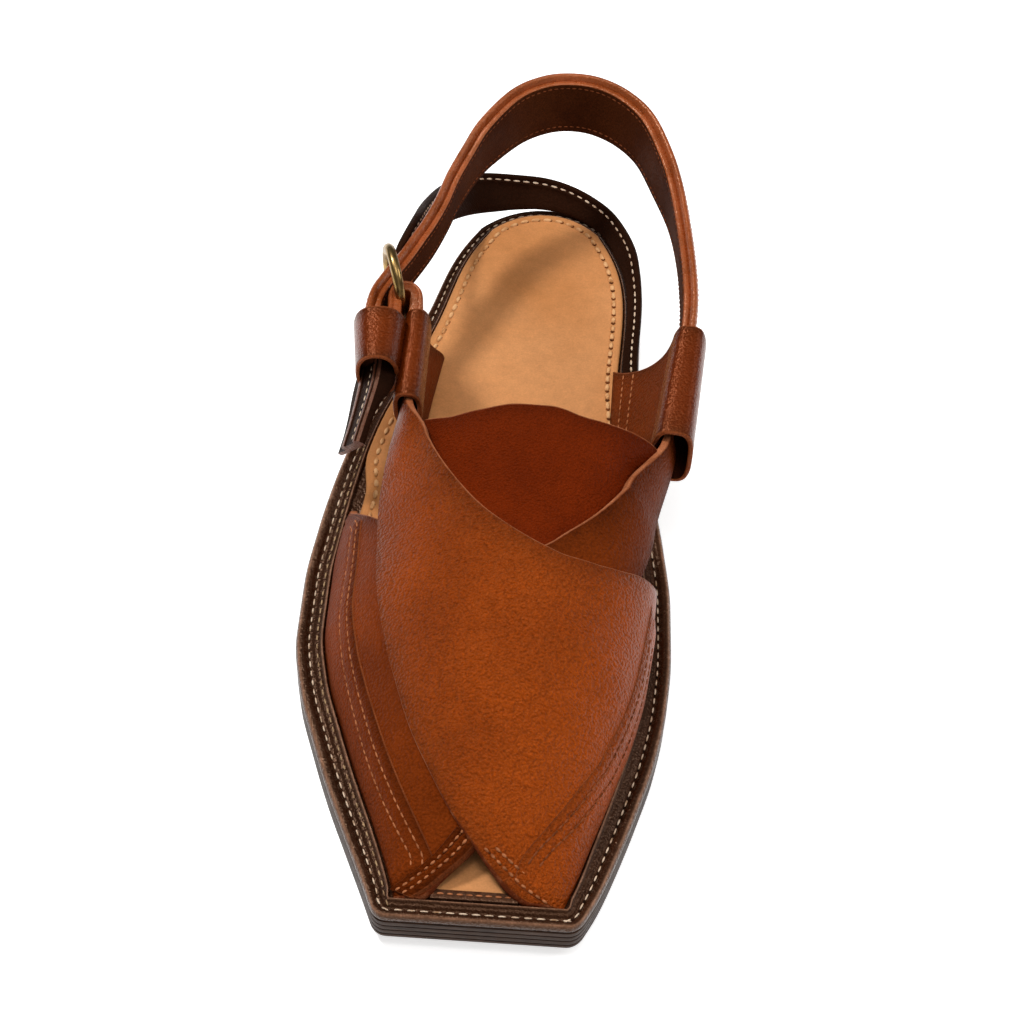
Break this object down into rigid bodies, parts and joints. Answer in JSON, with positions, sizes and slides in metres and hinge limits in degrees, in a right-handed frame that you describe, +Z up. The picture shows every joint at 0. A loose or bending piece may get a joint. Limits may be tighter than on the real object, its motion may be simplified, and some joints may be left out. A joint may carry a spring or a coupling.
{
  "type": "peshawari chappal sandal",
  "caption": "Open peshawari chappal: broad crossed leather straps over the forefoot, a sling strap round the heel held by a metal ring, on a low layered leather sole with a square toe.",
  "frame": {"origin": "on the floor, under the middle of the whole shoe", "axes": "toe to -Y, heel to +Y, +Z up, +X to the wearer's inner (medial) side, -X to the outer side with the ring"},
  "size_m": [0.1168, 0.2933, 0.0801],
  "materials": {
    "sole_leather": "burnished dark edge",
    "rim_leather": "semi-gloss dark brown",
    "footbed_leather": "smooth matte tan",
    "strap_leather": "semi-gloss cognac, fine grain",
    "tongue_leather": "semi-gloss red-brown",
    "ring_brass": "aged satin brass"
  },
  "bodies": {
    "root": {"outsole": "sole_leather", "heel_lift": "sole_leather", "welt": "rim_leather", "toe_strip": "rim_leather", "heel_band": "rim_leather", "strap_tip": "rim_leather", "insole": "footbed_leather", "upper": "strap_leather", "quarter_lateral": "strap_leather", "quarter_medial": "strap_leather", "heel_strap": "strap_leather", "ring_loop": "strap_leather", "keeper": "strap_leather", "tongue": "tongue_leather", "ring": "ring_brass"}
  },
  "joints": []
}
